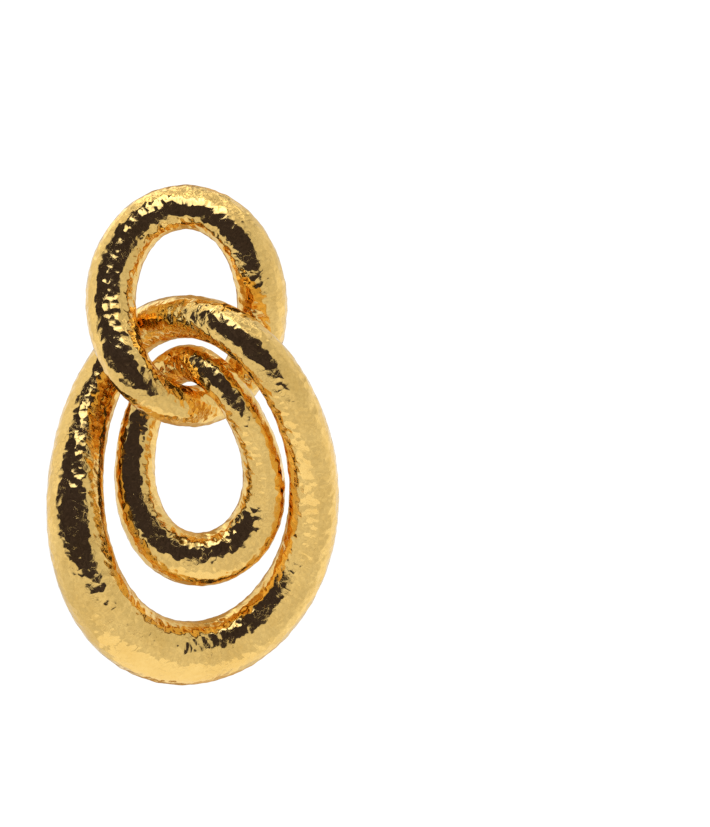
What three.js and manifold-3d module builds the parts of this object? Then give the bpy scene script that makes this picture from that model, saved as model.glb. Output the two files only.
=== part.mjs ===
// Double-hoop doorknocker drop earring in hammered gold, millimetres, +Z up, seen from the front along +Y.
//
// Three closed rings of round tube are linked like the links of a curb chain. The top link is worn on the
// ear; the inner hoop hangs on its lower bar, and the outer hoop hangs over the crown of the inner hoop.
// Each ring is an egg-shaped loop whose tube swells towards the bottom, and each one is gently twisted, so
// that it passes behind its neighbour on one side and in front of it on the other.
//
// The origin is the root of the ear post, where the ear lobe lies against the back of the top link.

import * as THREE from "three";
import { mergeVertices } from "three/addons/utils/BufferGeometryUtils.js";
import Module from "manifold-3d";

const wasm = await Module();
wasm.setup();

// ---------------------------------------------------------------- driving dimensions

// x, y, z: where the loop is centred, from the middle of the top link's crown.
// width, height: of the tube's centreline.
// lean, bulge, egg: crown to the right of the middle, both flanks to the right, lower half wider.
// roll, sag, skew: right flank up, crown and foot down, right shoulder up.
// turn, tip, bow, twist: depth of the right flank, the crown, both flanks and the right shoulder.
// curl, wave: depth of two sets of three waves round the loop, a sixth of it apart.
// tubeTop to tubeRight: diameter of the tube at the crown, the foot and the flanks.
// tubeSlant: how much thicker the tube is at the right shoulder and the left hip.
const TOP_LINK = {
  x: 0.18, y: 0, z: -11.48,
  width: 18.13, height: 23.88, lean: -0.2, bulge: -0.01, egg: 0.12,
  roll: -0.07, sag: 0.02, skew: 0.06,
  turn: 1.48, tip: -0.43, bow: 0.22, twist: -2.58, curl: -0.61, wave: -0.31,
  tubeTop: 5.52, tubeBottom: 5.14, tubeLeft: 6.22, tubeRight: 6.23, tubeSlant: -0.02,
  steps: 72, sides: 18,
};
const OUTER_HOOP = {
  x: 0.46, y: 1.06, z: -33.19,
  width: 28.65, height: 40.45, lean: 0.12, bulge: 0.68, egg: -0.16,
  roll: -0.19, sag: -0.27, skew: 0.18,
  turn: -1.37, tip: -2.78, bow: -0.31, twist: -4.74, curl: 1.28, wave: -0.01,
  tubeTop: 5.36, tubeBottom: 7.91, tubeLeft: 6.95, tubeRight: 6.2, tubeSlant: 0.13,
  steps: 88, sides: 20,
};
const INNER_HOOP = {
  x: 1.58, y: 1.05, z: -29.69,
  width: 15.1, height: 23.5, lean: -0.52, bulge: -0.04, egg: -0.92,
  roll: -0.29, sag: 0.38, skew: -0.48,
  turn: -2.1, tip: -1.71, bow: 0.32, twist: -1.82, curl: 0.11, wave: -0.28,
  tubeTop: 4.64, tubeBottom: 6.63, tubeLeft: 4.94, tubeRight: 4.95, tubeSlant: -0.05,
  steps: 68, sides: 18,
};

const POST = {
  diameter: 0.9,
  length: 11,
  tip: 0.35,
  grooveAt: 8.6,
  grooveWidth: 0.6,
  grooveDepth: 0.12,
  padWidth: 5.2,
  padHeight: 4,
  padThickness: 0.9,
};
const SEAT_GAP = 0.3; // between pieces that touch

// The level line, along X, about which each hoop swings: its place from the origin, and the swing in
// degrees, forward (negative) to backward.
const OUTER_SWING = { y: -2.66, z: -14.44, forward: -14, backward: 10 };
const INNER_SWING = { y: -3.42, z: -23.44, forward: -9, backward: 12 };

const GOLD = { color: 0xe0b04c, metalness: 1 };

// ---------------------------------------------------------------- rings

// The tube's centre at angle a round the loop, anticlockwise from the right flank.
function centreline(ring, a) {
  const right = Math.cos(a);
  const top = Math.sin(a);
  const flanks = Math.cos(2 * a);
  const shoulder = Math.sin(2 * a);
  const waves = ring.curl * Math.cos(3 * a) + ring.wave * Math.sin(3 * a);
  return new THREE.Vector3(
    ring.x + (ring.width / 2) * right + ring.lean * top + ring.bulge * flanks + ring.egg * shoulder,
    ring.y + ring.turn * right + ring.tip * top + ring.bow * flanks + ring.twist * shoulder + waves,
    ring.z + ring.roll * right + (ring.height / 2) * top + ring.sag * flanks + ring.skew * shoulder,
  );
}

function tubeRadius(ring, a) {
  const mean = (ring.tubeTop + ring.tubeBottom + ring.tubeLeft + ring.tubeRight) / 4;
  const side = (ring.tubeRight - ring.tubeLeft) / 2;
  const crown = (ring.tubeTop - ring.tubeBottom) / 2;
  const flanks = (ring.tubeLeft + ring.tubeRight - ring.tubeTop - ring.tubeBottom) / 4;
  const diameter =
    mean +
    side * Math.cos(a) +
    crown * Math.sin(a) +
    flanks * Math.cos(2 * a) +
    2 * ring.tubeSlant * Math.sin(2 * a);
  return diameter / 2;
}

// Unit vectors at angle a: outward in the plane seen from the front, and square to it and the tube.
function sectionAxes(ring, a) {
  const small = 1e-4;
  const tangent = centreline(ring, a + small).sub(centreline(ring, a - small)).normalize();
  const outward = new THREE.Vector3(tangent.z, 0, -tangent.x).normalize();
  const across = new THREE.Vector3().crossVectors(outward, tangent).normalize();
  return { outward, across };
}

// A closed ring of round tube; extra is added to the tube's radius.
function ringGeometry(ring, extra = 0) {
  const geometry = new THREE.TorusGeometry(2, 1, ring.sides, ring.steps);
  const position = geometry.attributes.position;
  for (let side = 0; side <= ring.sides; side++) {
    const b = (2 * Math.PI * (side % ring.sides)) / ring.sides;
    for (let step = 0; step <= ring.steps; step++) {
      const a = (2 * Math.PI * (step % ring.steps)) / ring.steps;
      const { outward, across } = sectionAxes(ring, a);
      const r = tubeRadius(ring, a) + extra;
      const point = centreline(ring, a)
        .addScaledVector(outward, r * Math.cos(b))
        .addScaledVector(across, r * Math.sin(b));
      position.setXYZ(side * (ring.steps + 1) + step, point.x, point.y, point.z);
    }
  }
  geometry.computeVertexNormals();
  return geometry;
}

// ---------------------------------------------------------------- solids

function toSolid(geometry) {
  const bare = geometry.clone();
  bare.deleteAttribute("normal");
  bare.deleteAttribute("uv");
  const merged = mergeVertices(bare, 1e-4);
  return new wasm.Manifold(
    new wasm.Mesh({
      numProp: 3,
      vertProperties: new Float32Array(merged.attributes.position.array),
      triVerts: new Uint32Array(merged.index.array),
    }),
  );
}

function toGeometry(solid) {
  const mesh = solid.getMesh();
  const geometry = new THREE.BufferGeometry();
  geometry.setAttribute("position", new THREE.BufferAttribute(mesh.vertProperties, 3));
  geometry.setIndex(new THREE.BufferAttribute(mesh.triVerts, 1));
  geometry.computeVertexNormals();
  return geometry;
}

// ---------------------------------------------------------------- ear post

// The middle of the top link's crown, from which the rings' own places are measured.
const CROWN = centreline(TOP_LINK, Math.PI / 2);
const CROWN_RADIUS = tubeRadius(TOP_LINK, Math.PI / 2);
const PAD_BACK = CROWN.y + CROWN_RADIUS + POST.padThickness;

// A straight pin along +Y with a round tip and a shallow groove for the ear nut.
function pinGeometry() {
  const r = POST.diameter / 2;
  const waist = r - POST.grooveDepth;
  const half = POST.grooveWidth / 2;
  const overlap = POST.padThickness / 2;
  const profile = [
    new THREE.Vector2(0, -overlap),
    new THREE.Vector2(r, -overlap),
    new THREE.Vector2(r, POST.grooveAt - half),
    new THREE.Vector2(waist, POST.grooveAt),
    new THREE.Vector2(r, POST.grooveAt + half),
    new THREE.Vector2(r, POST.length - POST.tip),
    new THREE.Vector2(0.7 * r, POST.length - 0.3 * POST.tip),
    new THREE.Vector2(0, POST.length),
  ];
  return new THREE.LatheGeometry(profile, 16).translate(CROWN.x, PAD_BACK, CROWN.z);
}

// An oval pad on the back of the crown, hollowed to follow the tube.
function padGeometry() {
  const depth = CROWN_RADIUS + POST.padThickness;
  return new THREE.CylinderGeometry(0.5, 0.5, 1, 32)
    .scale(POST.padWidth, depth, POST.padHeight)
    .translate(CROWN.x, PAD_BACK - depth / 2, CROWN.z);
}

function earPostGeometry() {
  const seat = toSolid(ringGeometry(TOP_LINK, SEAT_GAP));
  return toGeometry(toSolid(padGeometry()).add(toSolid(pinGeometry())).subtract(seat));
}

// ---------------------------------------------------------------- assembly

function piece(name, geometry, roughness, swing = null) {
  const material = new THREE.MeshStandardMaterial({ ...GOLD, roughness });
  const mesh = new THREE.Mesh(geometry, material);
  mesh.name = name;
  mesh.userData.swing = swing;
  return mesh;
}

const earring = new THREE.Group();
earring.add(
  piece("top_link", ringGeometry(TOP_LINK), 0.28),
  piece("outer_hoop", ringGeometry(OUTER_HOOP), 0.28, OUTER_SWING),
  piece("inner_hoop", ringGeometry(INNER_HOOP), 0.28, INNER_SWING),
  piece("ear_post", earPostGeometry(), 0.2),
);
earring.position.set(-CROWN.x, -PAD_BACK, -CROWN.z);

export default earring;
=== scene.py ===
"""A double-hoop drop earring in hammered gold: the looks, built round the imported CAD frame."""

import math

import bmesh
import bpy
import numpy as np
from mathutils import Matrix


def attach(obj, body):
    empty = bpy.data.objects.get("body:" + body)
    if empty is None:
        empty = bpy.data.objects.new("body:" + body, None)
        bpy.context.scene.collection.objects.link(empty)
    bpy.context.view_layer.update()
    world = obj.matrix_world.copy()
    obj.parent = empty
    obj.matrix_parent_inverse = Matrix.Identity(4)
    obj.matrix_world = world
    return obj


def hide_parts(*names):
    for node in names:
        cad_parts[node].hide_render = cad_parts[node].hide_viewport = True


MM = 0.001
TAU = 2 * math.pi
SMALL_TURN = 1e-4  # either side of an angle, to find the slope there

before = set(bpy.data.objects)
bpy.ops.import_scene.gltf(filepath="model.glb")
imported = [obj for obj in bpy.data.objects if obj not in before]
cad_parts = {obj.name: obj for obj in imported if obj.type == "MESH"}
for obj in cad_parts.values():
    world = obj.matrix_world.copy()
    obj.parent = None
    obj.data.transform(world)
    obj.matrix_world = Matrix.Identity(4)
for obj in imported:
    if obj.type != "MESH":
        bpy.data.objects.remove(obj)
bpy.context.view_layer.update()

# ---------------------------------------------------------------- dimensions, mm
# The rings' values are the CAD source's own: the centreline's place, size, skew and depth, and the
# tube's diameter at the crown, the foot and the flanks. Steps and sides are the mesh's own.
RINGS = {
    "top_link": dict(
        x=0.18, y=0, z=-11.48, width=18.13, height=23.88, lean=-0.2, bulge=-0.01, egg=0.12,
        roll=-0.07, sag=0.02, skew=0.06,
        turn=1.48, tip=-0.43, bow=0.22, twist=-2.58, curl=-0.61, wave=-0.31,
        top=5.52, bottom=5.14, left=6.22, right=6.23, slant=-0.02, steps=500, sides=140,
    ),
    "outer_hoop": dict(
        x=0.46, y=1.06, z=-33.19, width=28.65, height=40.45, lean=0.12, bulge=0.68, egg=-0.16,
        roll=-0.19, sag=-0.27, skew=0.18,
        turn=-1.37, tip=-2.78, bow=-0.31, twist=-4.74, curl=1.28, wave=-0.01,
        top=5.36, bottom=7.91, left=6.95, right=6.2, slant=0.13, steps=700, sides=140,
    ),
    "inner_hoop": dict(
        x=1.58, y=1.05, z=-29.69, width=15.1, height=23.5, lean=-0.52, bulge=-0.04, egg=-0.92,
        roll=-0.29, sag=0.38, skew=-0.48,
        turn=-2.1, tip=-1.71, bow=0.32, twist=-1.82, curl=0.11, wave=-0.28,
        top=4.64, bottom=6.63, left=4.94, right=4.95, slant=-0.05, steps=470, sides=124,
    ),
}
BODIES = {"top_link": "worn_link", "outer_hoop": "outer_hoop", "inner_hoop": "inner_hoop"}
# The ear post: gap is the room between its seat and the tube, lip the bevel round the seat, edge
# the rounding of the pad's back, fillet the rounding between the pad and the pin, and groove half
# the width of the groove.
PAD = dict(width=5.2, height=4.0, thickness=0.9, gap=0.3, lip=0.06, edge=0.16, fillet=0.45)
PIN = dict(radius=0.45, length=11.0, tip=0.4, groove_at=8.6, groove=0.3, groove_depth=0.12)
POST_ROWS = dict(seat=16, edge=7, fillet=8, shaft=14, groove=13, end=5, tip=9)
POST_COLUMNS = 72

# Two layers of hammer marks, mm: spacing, radius of a mark as a share of the spacing, radius of
# the hammer's face from and to, and how much a mark may be stretched.
BLOWS = (
    (2.6, 0.8, 26.0, 50.0, 1.3),
    (1.0, 0.82, 2.5, 4.4, 1.25),
)
CLEARANCE = 0.82  # least distance between two blows, as a share of the spacing
TRIES = 12  # for each blow wanted
FIRST_SEED = 40

BAKE_STRIPS = 2  # of each ring's UV map
STRIP_GAP = 0.004  # round a strip, as a share of it


# ---------------------------------------------------------------- rings

def centreline(ring, a):
    """The tube's centre at angle a round the loop, anticlockwise from the right flank."""
    right, top, flanks, shoulder = np.cos(a), np.sin(a), np.cos(2 * a), np.sin(2 * a)
    x = ring["x"] + ring["width"] / 2 * right + ring["lean"] * top
    y = ring["y"] + ring["turn"] * right + ring["tip"] * top
    z = ring["z"] + ring["roll"] * right + ring["height"] / 2 * top
    x = x + ring["bulge"] * flanks + ring["egg"] * shoulder
    y = y + ring["bow"] * flanks + ring["twist"] * shoulder
    z = z + ring["sag"] * flanks + ring["skew"] * shoulder
    y = y + ring["curl"] * np.cos(3 * a) + ring["wave"] * np.sin(3 * a)
    return np.stack([x, y, z], -1)


def tube_radius(ring, a):
    top, bottom, left, right = ring["top"], ring["bottom"], ring["left"], ring["right"]
    return (
        (top + bottom + left + right) / 4
        + (right - left) / 2 * np.cos(a)
        + (top - bottom) / 2 * np.sin(a)
        + (left + right - top - bottom) / 4 * np.cos(2 * a)
        + 2 * ring["slant"] * np.sin(2 * a)
    ) / 2


def unit(v):
    return v / np.linalg.norm(v, axis=-1, keepdims=True)


def section_axes(ring, a):
    """Unit vectors at angle a: outward in the plane seen from the front, and across it."""
    tangent = unit(centreline(ring, a + SMALL_TURN) - centreline(ring, a - SMALL_TURN))
    outward = unit(np.stack([tangent[..., 2], 0 * a, -tangent[..., 0]], -1))
    return outward, unit(np.cross(outward, tangent))


def ring_surface(ring):
    """Points over the tube, and the unit vectors along it, round it and out of it, as grids."""
    a = np.linspace(0, TAU, ring["steps"], endpoint=False)
    b = np.linspace(0, TAU, ring["sides"], endpoint=False)
    outward, across = section_axes(ring, a)
    out = outward[:, None] * np.cos(b)[None, :, None] + across[:, None] * np.sin(b)[None, :, None]
    points = centreline(ring, a)[:, None] + tube_radius(ring, a)[:, None, None] * out
    along = unit(np.roll(points, -1, 0) - np.roll(points, 1, 0))
    round_ = unit(np.roll(points, -1, 1) - np.roll(points, 1, 1))
    normal = unit(np.cross(along, round_))
    normal *= np.sign((normal * out).sum(-1, keepdims=True))
    return points, along, round_, normal


def strikes(points, areas, spacing, rng):
    """Places of the blows among the points: at random, but none too near another."""
    flat = points.reshape(-1, 3)
    chance = np.cumsum(areas) / areas.sum()
    wanted = int(areas.sum() / spacing**2)
    chosen = np.empty((wanted, 3))
    places = []
    for at in np.searchsorted(chance, rng.random(TRIES * wanted)):
        count = len(places)
        near = ((chosen[:count] - flat[at]) ** 2).sum(1)
        if count == 0 or near.min() > (CLEARANCE * spacing) ** 2:
            chosen[count] = flat[at]
            places.append(int(at))
            if len(places) == wanted:
                break
    return places


def hammer_depth(points, along, round_, rng):
    """How deep the hammer has struck at each point, mm: shallow hollows that meet in ridges."""
    steps, sides = points.shape[:2]
    ds = np.linalg.norm(np.roll(points, -1, 0) - points, axis=-1)
    dt = np.linalg.norm(np.roll(points, -1, 1) - points, axis=-1)
    total = np.zeros((steps, sides))
    for spacing, share, face_from, face_to, longest in BLOWS:
        depth = np.zeros((steps, sides))
        for at in strikes(points, (ds * dt).ravel(), spacing, rng):
            i, j = divmod(at, sides)
            r = share * spacing
            face = rng.uniform(face_from, face_to)
            stretch = rng.uniform(1.0, longest)
            turn = rng.uniform(0, math.pi)
            di = int(r * stretch / ds[i, j]) + 1
            dj = min(int(r * stretch / dt[i, j]) + 1, (sides - 1) // 2)
            rows = np.arange(i - di, i + di + 1) % steps
            columns = np.arange(j - dj, j + dj + 1) % sides
            window = np.ix_(rows, columns)
            d = points[window] - points[i, j]
            u, v = d @ along[i, j], d @ round_[i, j]
            c, s = math.cos(turn), math.sin(turn)
            far = ((u * c + v * s) / stretch) ** 2 + ((v * c - u * s) * stretch) ** 2
            depth[window] = np.maximum(depth[window], (r * r - far) / (2 * face))
        total += depth
    for axis in (0, 1):  # worn ridges
        total = (np.roll(total, 1, axis) + 2 * total + np.roll(total, -1, axis)) / 4
    return total


def grid_mesh(name, points):
    """A mesh over a grid of points that closes round its rows and its columns."""
    rows, columns = points.shape[:2]
    i = np.arange(rows)[:, None]
    j = np.arange(columns)[None, :]
    i2, j2 = (i + 1) % rows, (j + 1) % columns
    corners = (i * columns + j, i * columns + j2, i2 * columns + j2, i2 * columns + j)
    quads = np.stack(np.broadcast_arrays(*corners), -1).reshape(-1, 4)
    mesh = bpy.data.meshes.new(name)
    mesh.vertices.add(rows * columns)
    mesh.vertices.foreach_set("co", (points.reshape(-1, 3) * MM).astype(np.float32).ravel())
    mesh.loops.add(quads.size)
    mesh.loops.foreach_set("vertex_index", quads.astype(np.int32).ravel())
    mesh.polygons.add(len(quads))
    mesh.polygons.foreach_set("loop_start", np.arange(0, quads.size, 4, dtype=np.int32))
    mesh.polygons.foreach_set("use_smooth", np.ones(len(quads), bool))
    mesh.update(calc_edges=True)
    return mesh


def bake_map(mesh, rows, columns, strips):
    """A UV map that lays the ring out as a few strips of its length, one over another."""
    i = np.arange(rows)[:, None] + np.zeros((1, columns))
    j = np.arange(columns)[None, :] + np.zeros((rows, 1))
    corners = [(i, j), (i, j + 1), (i + 1, j + 1), (i + 1, j)]
    per = rows / strips
    strip = np.floor(i / per)
    uv = []
    for ci, cj in corners:
        u = STRIP_GAP + (1 - 2 * STRIP_GAP) * (ci - strip * per) / per
        v = (strip + STRIP_GAP + (1 - 2 * STRIP_GAP) * cj / columns) / strips
        uv.append(np.stack([u, v], -1))
    layer = mesh.uv_layers.new(name="OFBake")
    layer.uv.foreach_set("vector", np.stack(uv, 2).astype(np.float32).ravel())


def add(name, mesh, material):
    obj = bpy.data.objects.new(name, mesh)
    mesh.materials.append(material)
    bpy.context.scene.collection.objects.link(obj)
    return obj


# ---------------------------------------------------------------- materials

# Scales are in details per metre and heights in metres. Noise lies mostly between the two values
# of NOISE, and is spread from them to a range.
NOISE = (0.3, 0.7)

# The hammered gold.
DEEP_GOLD = (0.84, 0.535, 0.15, 1)
PALE_GOLD = (0.96, 0.665, 0.23, 1)
TONE_SCALE = 260
TONE_RANGE = (0.2, 0.7)  # from deep to pale gold
GRAIN_SCALE = 2600
GRAIN_RANGE = (-0.15, 0.25)  # added to the tone
HAMMERED_ROUGHNESS = (0.06, 0.13)
CREASE_SCALE = 900
CREASE_WIDTH = 0.03  # of the noise, either side of its middle
CREASE_DEPTH = 0.000008
CREASE_PATCH_SCALE = 420
CREASE_PATCH_EDGE = (0.46, 0.66)  # of the noise: creases fade in between these
# Painted shade: a brown that darkens the gold along the creases, standing in for the dark their
# steep walls reflect; the creases' relief itself is the bump below.
CREASE_SHADE = (0.45, 0.27, 0.08, 1)
CREASE_SHADE_SHARE = 0.25  # how much painted shade, in the middle of a crease
SWELL_SCALE = 1700
SWELL_HEIGHT = 0.000008
PIT_SCALE = 1250
PIT_DEPTH = 0.000052

# The plain gold of the ear post.
PLAIN_DEEP_GOLD = (0.80, 0.53, 0.16, 1)
PLAIN_PALE_GOLD = (0.92, 0.65, 0.235, 1)
PLAIN_TONE_SCALE = 500
SCRATCH_SCALE = 4200
SCRATCH_HEIGHT = 0.000004
PLAIN_ROUGHNESS = (0.10, 0.22)

# The floor, in metres, and how strongly it glows at its middle and at its rim.
FLOOR_Z = -0.085
FLOOR_RADIUS = 0.35
FLOOR_SIDES = 128
FLOOR_GREYS = ((0.80, 0.80, 0.80, 1), (0.82, 0.82, 0.82, 1))
FLOOR_TONE_SCALE = 6
FLOOR_ROUGHNESS = 0.9
GLOW_RADIUS = 0.12  # where the glow begins to grow
FLOOR_GLOW = (0.22, 0.6)


class Nodes:
    """Adds nodes to a tree and joins them."""

    def __init__(self, tree):
        self.tree = tree

    def add(self, kind, **values):
        node = self.tree.nodes.new(kind)
        for key, value in values.items():
            setattr(node, key, value)
        return node

    def put(self, socket, value):
        """Links the value to the socket, or sets it there if it is a constant."""
        if isinstance(value, bpy.types.NodeSocket):
            self.tree.links.new(value, socket)
        else:
            socket.default_value = value

    def math(self, operation, a, b=0.0):
        node = self.add("ShaderNodeMath", operation=operation)
        self.put(node.inputs[0], a)
        self.put(node.inputs[1], b)
        return node.outputs[0]

    def smooth(self, value, low, high):
        """0 below low, 1 above high and soft between them; low may be above high."""
        node = self.add("ShaderNodeMapRange", interpolation_type="SMOOTHSTEP")
        self.put(node.inputs["Value"], value)
        if low > high:
            low, high = high, low
            node.inputs["To Min"].default_value = 1.0
            node.inputs["To Max"].default_value = 0.0
        node.inputs["From Min"].default_value = low
        node.inputs["From Max"].default_value = high
        return node.outputs["Result"]

    def spread(self, value, low, high, to_low, to_high):
        """Runs evenly from to_low to to_high as the value goes from low to high."""
        node = self.add("ShaderNodeMapRange")
        self.put(node.inputs["Value"], value)
        ends = {"From Min": low, "From Max": high, "To Min": to_low, "To Max": to_high}
        for key, end in ends.items():
            node.inputs[key].default_value = end
        return node.outputs["Result"]

    def noise(self, where, scale, detail=2.0, roughness=0.5):
        node = self.add("ShaderNodeTexNoise")
        self.put(node.inputs["Vector"], where)
        node.inputs["Scale"].default_value = scale
        node.inputs["Detail"].default_value = detail
        node.inputs["Roughness"].default_value = roughness
        return node.outputs["Fac"]

    def pits(self, where, scale):
        """Small hollows that meet in ridges."""
        node = self.add("ShaderNodeTexVoronoi", feature="F1")
        self.put(node.inputs["Vector"], where)
        node.inputs["Scale"].default_value = scale
        distance = node.outputs["Distance"]
        return self.math("MULTIPLY", distance, distance)

    def blend(self, share, a, b):
        """Colour a at a share of 0, b at 1. The numbers are the Mix node's colour sockets."""
        node = self.add("ShaderNodeMix", data_type="RGBA")
        self.put(node.inputs[0], share)
        self.put(node.inputs[6], a)
        self.put(node.inputs[7], b)
        return node.outputs[2]

    def scaled(self, colour, factor):
        """The colour made brighter or darker by a factor."""
        node = self.add("ShaderNodeVectorMath", operation="SCALE")
        self.put(node.inputs[0], colour)
        self.put(node.inputs["Scale"], factor)
        return node.outputs["Vector"]

    def bump(self, height, distance, normal=None):
        node = self.add("ShaderNodeBump")
        self.put(node.inputs["Height"], height)
        node.inputs["Distance"].default_value = distance
        node.inputs["Strength"].default_value = 1.0
        if normal is not None:
            self.put(node.inputs["Normal"], normal)
        return node.outputs["Normal"]


def new_material(name):
    material = bpy.data.materials.new(name)
    material.use_nodes = True
    n = Nodes(material.node_tree)
    shader = material.node_tree.nodes["Principled BSDF"]
    where = n.add("ShaderNodeTexCoord").outputs["Object"]
    return material, n, shader, where


def hammered_gold():
    """Gold with fine pits and creases whose colour is darkened as painted shade, a little uneven
    in tone and gloss.
    """
    material, n, shader, where = new_material("hammered_gold")
    tone = n.noise(where, TONE_SCALE, 3)
    grain = n.noise(where, GRAIN_SCALE, 4, 0.6)
    ripple = n.noise(where, CREASE_SCALE, 4, 0.62)
    ripple = n.math("ABSOLUTE", n.math("SUBTRACT", ripple, 0.5))
    patch = n.smooth(n.noise(where, CREASE_PATCH_SCALE, 2), *CREASE_PATCH_EDGE)
    crease = n.math("MULTIPLY", n.smooth(ripple, CREASE_WIDTH, 0.0), patch)
    share = n.spread(tone, *NOISE, *TONE_RANGE)
    share = n.math("ADD", share, n.spread(grain, *NOISE, *GRAIN_RANGE))
    gold = n.blend(share, DEEP_GOLD, PALE_GOLD)
    # Painted shade along the creases, blended into the gold's colour.
    gold = n.blend(n.math("MULTIPLY", crease, CREASE_SHADE_SHARE), gold, CREASE_SHADE)
    n.put(shader.inputs["Base Color"], gold)
    n.put(shader.inputs["Roughness"], n.spread(grain, *NOISE, *HAMMERED_ROUGHNESS))
    shader.inputs["Metallic"].default_value = 1.0
    normal = n.bump(crease, -CREASE_DEPTH)
    normal = n.bump(n.noise(where, SWELL_SCALE, 3, 0.5), SWELL_HEIGHT, normal)
    normal = n.bump(n.pits(where, PIT_SCALE), PIT_DEPTH, normal)
    n.put(shader.inputs["Normal"], normal)
    return material


def plain_gold():
    """Smooth polished gold with faint scratches, for the ear post."""
    material, n, shader, where = new_material("plain_gold")
    tone = n.noise(where, PLAIN_TONE_SCALE, 3)
    scratches = n.noise(where, SCRATCH_SCALE, 3, 0.7)
    gold = n.blend(n.spread(tone, *NOISE, 0, 1), PLAIN_DEEP_GOLD, PLAIN_PALE_GOLD)
    n.put(shader.inputs["Base Color"], gold)
    n.put(shader.inputs["Roughness"], n.spread(scratches, *NOISE, *PLAIN_ROUGHNESS))
    shader.inputs["Metallic"].default_value = 1.0
    n.put(shader.inputs["Normal"], n.bump(scratches, SCRATCH_HEIGHT))
    return material


def floor_paint():
    """Pale paint, lit so that it runs out into the white of the room at its rim."""
    material, n, shader, where = new_material("floor_paint")
    tone = n.noise(where, FLOOR_TONE_SCALE, 2)
    n.put(shader.inputs["Base Color"], n.blend(tone, *FLOOR_GREYS))
    shader.inputs["Roughness"].default_value = FLOOR_ROUGHNESS
    shader.inputs["Emission Color"].default_value = (1, 1, 1, 1)
    distance = n.add("ShaderNodeVectorMath", operation="LENGTH")
    n.put(distance.inputs[0], where)
    glow = n.spread(distance.outputs["Value"], GLOW_RADIUS, FLOOR_RADIUS, *FLOOR_GLOW)
    n.put(shader.inputs["Emission Strength"], glow)
    return material


# ---------------------------------------------------------------- ear post

NEWTON_ROUNDS = 12
NEWTON_STEP = 1e-5
SHAFT_GAP = 0.6  # mm, from the fillet to the next row of points
ROW_GAP = 0.1  # mm, from the groove to the rows beside it


def seat_depth(ring, x, z):
    """The depth (y) of the seat, a gap behind the back of the tube, at each place x, z."""

    def surface(a, b):
        outward, across = section_axes(ring, a)
        r = (tube_radius(ring, a) + PAD["gap"])[..., None]
        return centreline(ring, a) + r * (
            outward * np.cos(b)[..., None] + across * np.sin(b)[..., None]
        )

    # Newton's method, from the middle of the crown's back, finds the angles of the point at x, z.
    a = np.full(x.shape, TAU / 4)
    b = np.full(x.shape, TAU / 4)
    if surface(a, b).flat[1] < surface(a, -b).flat[1]:
        b = -b
    for _ in range(NEWTON_ROUNDS):
        here = surface(a, b)
        da = (surface(a + NEWTON_STEP, b) - here) / NEWTON_STEP
        db = (surface(a, b + NEWTON_STEP) - here) / NEWTON_STEP
        ex, ez = x - here[..., 0], z - here[..., 2]
        det = da[..., 0] * db[..., 2] - da[..., 2] * db[..., 0]
        a = a + (ex * db[..., 2] - ez * db[..., 0]) / det
        b = b + (ez * da[..., 0] - ex * da[..., 2]) / det
    return surface(a, b)[..., 1]


def ear_post_points(ring):
    """Rows of points from the middle of the hollowed seat, over the pad's edge and down the pin.

    Also the points that close the rows at both ends, and the root of the pin.
    """
    crown = centreline(ring, np.array(TAU / 4))
    radius = float(tube_radius(ring, np.array(TAU / 4)))
    back = crown[1] + radius + PAD["thickness"]
    half_width, half_height = PAD["width"] / 2, PAD["height"] / 2
    lip, edge, fillet = PAD["lip"], PAD["edge"], PAD["fillet"]
    pin, tip, half_groove = PIN["radius"], PIN["tip"], PIN["groove"]
    t = np.linspace(0, TAU, POST_COLUMNS, endpoint=False)
    c, s = np.cos(t), np.sin(t)
    rows = []

    def oval(wide, high, y):
        """A row round an oval; y is one depth, or one for each point."""
        rows.append(np.stack([crown[0] + wide * c, y + 0 * t, crown[2] + high * s], -1))

    def circle(r, y):
        """A row round the pin, y behind the pad's back."""
        oval(r, r, back + y)

    for k in np.linspace(0.04, 1, POST_ROWS["seat"]):
        wide, high = k * (half_width - lip), k * (half_height - lip)
        oval(wide, high, seat_depth(ring, crown[0] + wide * c, crown[2] + high * s))
    rim = seat_depth(ring, crown[0] + half_width * c, crown[2] + half_height * s) + lip
    for k in (0, 0.33, 0.66, 1):
        oval(half_width, half_height, rim + k * (back - edge - rim))
    for angle in np.linspace(0, TAU / 4, POST_ROWS["edge"])[1:]:
        inset = edge * (1 - math.cos(angle))
        oval(half_width - inset, half_height - inset, back - edge * (1 - math.sin(angle)))
    for k in (0.25, 0.5, 0.75, 1):
        wide = (1 - k) * (half_width - edge) + k * (pin + fillet)
        high = (1 - k) * (half_height - edge) + k * (pin + fillet)
        oval(wide, high, back)
    for angle in np.linspace(0, TAU / 4, POST_ROWS["fillet"])[1:]:
        circle(pin + fillet * (1 - math.sin(angle)), fillet * (1 - math.cos(angle)))
    groove_start = PIN["groove_at"] - half_groove - ROW_GAP
    groove_end = PIN["groove_at"] + half_groove + ROW_GAP
    for y in np.linspace(fillet + SHAFT_GAP, groove_start, POST_ROWS["shaft"]):
        circle(pin, y)
    for k in np.linspace(-1, 1, POST_ROWS["groove"]):
        dip = PIN["groove_depth"] * (1 + math.cos(math.pi * k)) / 2
        circle(pin - dip, PIN["groove_at"] + half_groove * k)
    for y in np.linspace(groove_end, PIN["length"] - tip, POST_ROWS["end"]):
        circle(pin, y)
    for angle in np.linspace(0, TAU / 4, POST_ROWS["tip"])[1:-1]:
        circle(pin * math.cos(angle), PIN["length"] - tip * (1 - math.sin(angle)))
    first = rows[0].mean(0)
    root = np.array([crown[0], back, crown[2]])
    last = np.array([crown[0], back + PIN["length"], crown[2]])
    return np.array(rows), first, last, root


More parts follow.
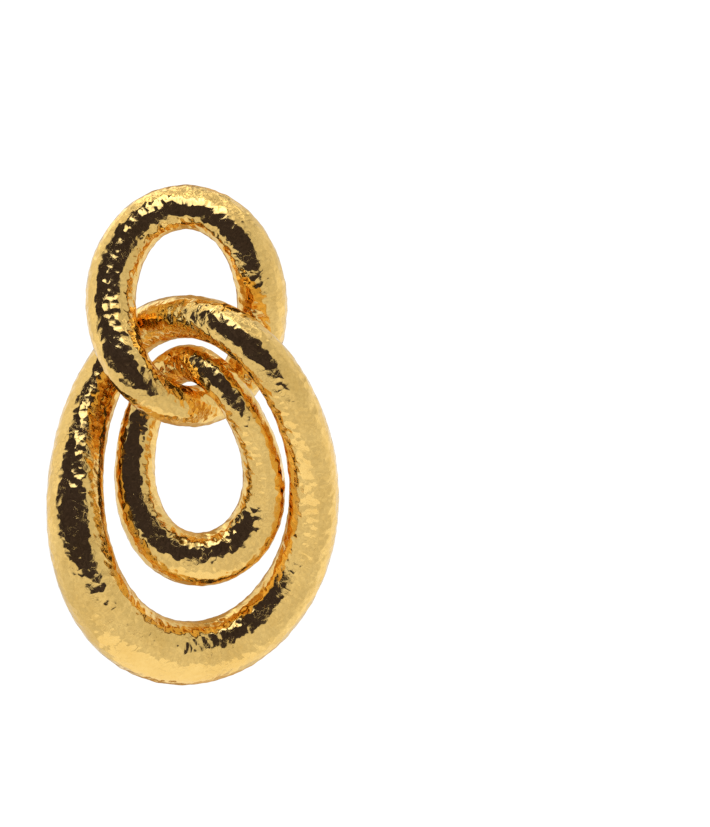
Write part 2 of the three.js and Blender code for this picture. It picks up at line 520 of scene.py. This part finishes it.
def closed_mesh(name, rows, first, last):
    """A mesh over rows of points, closed by a point at each end."""
    count, columns = rows.shape[:2]
    points = np.concatenate([[first], rows.reshape(-1, 3), [last]]) * MM
    faces = []
    for j in range(columns):
        k = (j + 1) % columns
        faces.append((0, 1 + k, 1 + j))
        end = 1 + (count - 1) * columns
        faces.append((end + j, end + k, len(points) - 1))
        for i in range(count - 1):
            here = 1 + i * columns
            faces.append((here + j, here + k, here + columns + k, here + columns + j))
    mesh = bpy.data.meshes.new(name)
    mesh.from_pydata(points.tolist(), [], faces)
    mesh.polygons.foreach_set("use_smooth", np.ones(len(faces), bool))
    mesh.update()
    return mesh


# ---------------------------------------------------------------- pieces

HAMMERED = hammered_gold()
PLAIN = plain_gold()

post_rows, post_first, post_last, post_root = ear_post_points(RINGS["top_link"])
SHIFT = -post_root  # from the rings' own origin to the root of the ear post

for number, (name, ring) in enumerate(RINGS.items()):
    points, along, round_, normal = ring_surface(ring)
    depth = hammer_depth(points, along, round_, np.random.default_rng(FIRST_SEED + number))
    points = points - depth[..., None] * normal + SHIFT
    mesh = grid_mesh(name + "_hammered", points)
    bake_map(mesh, ring["steps"], ring["sides"], BAKE_STRIPS)
    obj = add(name + "_hammered", mesh, HAMMERED)
    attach(obj, BODIES[name])
    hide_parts(name)

post_mesh = closed_mesh(
    "ear_post_polished", post_rows + SHIFT, post_first + SHIFT, post_last + SHIFT
)
post = add("ear_post_polished", post_mesh, PLAIN)
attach(post, "worn_link")
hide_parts("ear_post")

# ---------------------------------------------------------------- floor, light and camera

floor_mesh = bpy.data.meshes.new("floor")
angles = [TAU * k / FLOOR_SIDES for k in range(FLOOR_SIDES)]
floor_mesh.from_pydata(
    [(FLOOR_RADIUS * math.cos(t), FLOOR_RADIUS * math.sin(t), 0) for t in angles],
    [],
    [tuple(range(FLOOR_SIDES))],
)
floor = add("floor", floor_mesh, floor_paint())
floor.location = (0, 0, FLOOR_Z)

# The light tent round the earring, which only reflections show. Angles in degrees, seen from the
# tent's middle: azimuth from the camera to its right, elevation above the level.
TENT_MIDDLE = (0.002, -0.0033, -0.0284)
TENT_RADIUS = 0.066
TENT_SEGMENTS = (96, 48)
WALL = 0.80
PANELS = (
    # azimuth from, to, elevation from, to, softness, colour
    (-150, -82, -14, 72, 8, (0.95, 0.95, 0.95)),
    (-150, -112, 38, 50, 3, (1.5, 1.5, 1.5)),
    (95, 150, -60, 20, 12, (0.98, 0.98, 0.98)),
    (28, 72, -16, 60, 10, (0.70, 0.70, 0.68)),
    (-75, 20, 40, 80, 5, (1.1, 1.1, 1.05)),
    (-62, 8, 40, 70, 3, (1.55, 1.65, 2.0)),
    (158, 180, -80, 60, 5, (0.66, 0.50, 0.30)),
    (-180, -158, -80, 60, 5, (0.50, 0.33, 0.15)),
)
# The dark front of the tent, where the camera stands: its sides, the middle and height of its
# lower edge and how fast that edge rises to the left and right, the place and height of the notch
# in its upper edge, how steeply that edge rises to the left and right of the notch, and how high
# it gets on the right.
DARK = dict(
    left=-77, right=33, middle=-8, bottom=-25, rise_left=0.0048, rise_right=0.010,
    notch=-33, top=41.5, steep_left=0.85, steep_right=0.33, top_right=50,
    soft=2.5, colour=(0.040, 0.034, 0.056),
)
# The tent isn't even. Each row has the scale of a noise, in details per radius of the tent, the
# part of the noise that counts, and how dark and how bright it makes the walls, the gleams
# overhead and the dark front.
WALL_NOISE = (5.5, 0.3, 0.7, 0.80, 1.18)
GLEAM_NOISE = (11, 0.44, 0.58, 0.6, 1.9)
DARK_NOISE = (9, 0.35, 0.65, 0.65, 1.45)
OVERHEAD = (52, 64)  # elevations between which the gleams fade in

ROOM = 1.05  # the brightness of the white room


def tent_light():
    """The tent's own light, as a colour for each direction from its middle."""
    material = bpy.data.materials.new("tent_light")
    material.use_nodes = True
    tree = material.node_tree
    tree.nodes.clear()
    n = Nodes(tree)
    direction = n.add("ShaderNodeVectorMath", operation="NORMALIZE")
    n.put(direction.inputs[0], n.add("ShaderNodeTexCoord").outputs["Object"])
    where = n.add("ShaderNodeSeparateXYZ")
    heading = direction.outputs["Vector"]
    n.put(where.inputs[0], heading)
    x, y, z = where.outputs
    azimuth = n.math("MULTIPLY", n.math("ARCTAN2", x, n.math("MULTIPLY", y, -1)), 360 / TAU)
    elevation = n.math("MULTIPLY", n.math("ARCSINE", z), 360 / TAU)

    def between(value, low, high, soft):
        """1 from low to high and 0 outside; an azimuth of 180 or -180 is no edge."""
        inside = n.smooth(value, low - soft, low + soft) if low > -180 else 1.0
        if high < 180:
            inside = n.math("MULTIPLY", inside, n.smooth(value, high + soft, high - soft))
        return inside

    def uneven(noise):
        scale, *ranges = noise
        return n.spread(n.noise(heading, scale, 3, 0.6), *ranges)

    light = (WALL, WALL, WALL, 1)
    for a0, a1, e0, e1, soft, colour in PANELS:
        mask = between(azimuth, a0, a1, soft)
        mask = n.math("MULTIPLY", mask, between(elevation, e0, e1, soft))
        light = n.blend(mask, light, (*colour, 1))
    light = n.scaled(light, uneven(WALL_NOISE))
    gleams = uneven(GLEAM_NOISE)
    light = n.blend(n.smooth(elevation, *OVERHEAD), light, n.scaled(light, gleams))
    soft = DARK["soft"]
    aside = n.math("SUBTRACT", azimuth, DARK["middle"])
    rise = n.math("MULTIPLY", n.math("MAXIMUM", aside, 0), DARK["rise_right"])
    rise = n.math("ADD", rise, n.math("MULTIPLY", n.math("MINIMUM", aside, 0), DARK["rise_left"]))
    lower = n.math("ADD", n.math("MULTIPLY", rise, aside), DARK["bottom"])
    past = n.math("SUBTRACT", azimuth, DARK["notch"])
    upper = n.math("MULTIPLY", n.math("MAXIMUM", past, 0), DARK["steep_right"])
    upper = n.math("MINIMUM", n.math("ADD", upper, DARK["top"]), DARK["top_right"])
    up_left = n.math("MULTIPLY", n.math("MINIMUM", past, 0), -DARK["steep_left"])
    upper = n.math("ADD", upper, up_left)
    mask = between(azimuth, DARK["left"], DARK["right"], soft)
    mask = n.math("MULTIPLY", mask, n.smooth(n.math("SUBTRACT", elevation, lower), -soft, soft))
    mask = n.math("MULTIPLY", mask, n.smooth(n.math("SUBTRACT", upper, elevation), -soft, soft))
    light = n.blend(mask, light, n.scaled(DARK["colour"], uneven(DARK_NOISE)))
    shine = n.add("ShaderNodeEmission")
    n.put(shine.inputs["Color"], light)
    tree.links.new(shine.outputs[0], n.add("ShaderNodeOutputMaterial").inputs["Surface"])
    return material


def light_tent():
    """The ball that carries the tent's light and that only glossy rays see."""
    ball = bmesh.new()
    across, down = TENT_SEGMENTS
    bmesh.ops.create_uvsphere(ball, u_segments=across, v_segments=down, radius=TENT_RADIUS)
    mesh = bpy.data.meshes.new("light_tent")
    ball.to_mesh(mesh)
    ball.free()
    tent = add("light_tent", mesh, tent_light())
    tent.location = TENT_MIDDLE
    for way in ("camera", "diffuse", "transmission", "volume_scatter", "shadow"):
        setattr(tent, "visible_" + way, False)


def white_room():
    """Even white light all round, a little over 1 so that the background comes out white."""
    world = bpy.data.worlds.new("white_room")
    bpy.context.scene.world = world
    world.use_nodes = True
    background = world.node_tree.nodes["Background"]
    background.inputs["Color"].default_value = (ROOM, ROOM, ROOM, 1)
    background.inputs["Strength"].default_value = 1.0


white_room()
light_tent()

# The camera looks level along +Y. The view's height, in metres, is where the camera aims.
AIM = (0.02039, 0.0029, -0.02475)
VIEW_HEIGHT = 0.0997
DISTANCE = 1.2
SENSOR = 36  # mm
camera_data = bpy.data.cameras.new("camera")
camera_data.sensor_width = SENSOR
camera_data.lens = SENSOR * DISTANCE / VIEW_HEIGHT
camera_data.clip_start = 0.05
camera_data.clip_end = 20
camera = bpy.data.objects.new("camera", camera_data)
camera.location = (AIM[0], AIM[1] - DISTANCE, AIM[2])
camera.rotation_euler = (math.radians(90), 0, 0)
bpy.context.scene.collection.objects.link(camera)
bpy.context.scene.camera = camera

view = bpy.context.scene.view_settings
view.view_transform = "Standard"
view.look = "None"
view.exposure = 0
view.gamma = 1
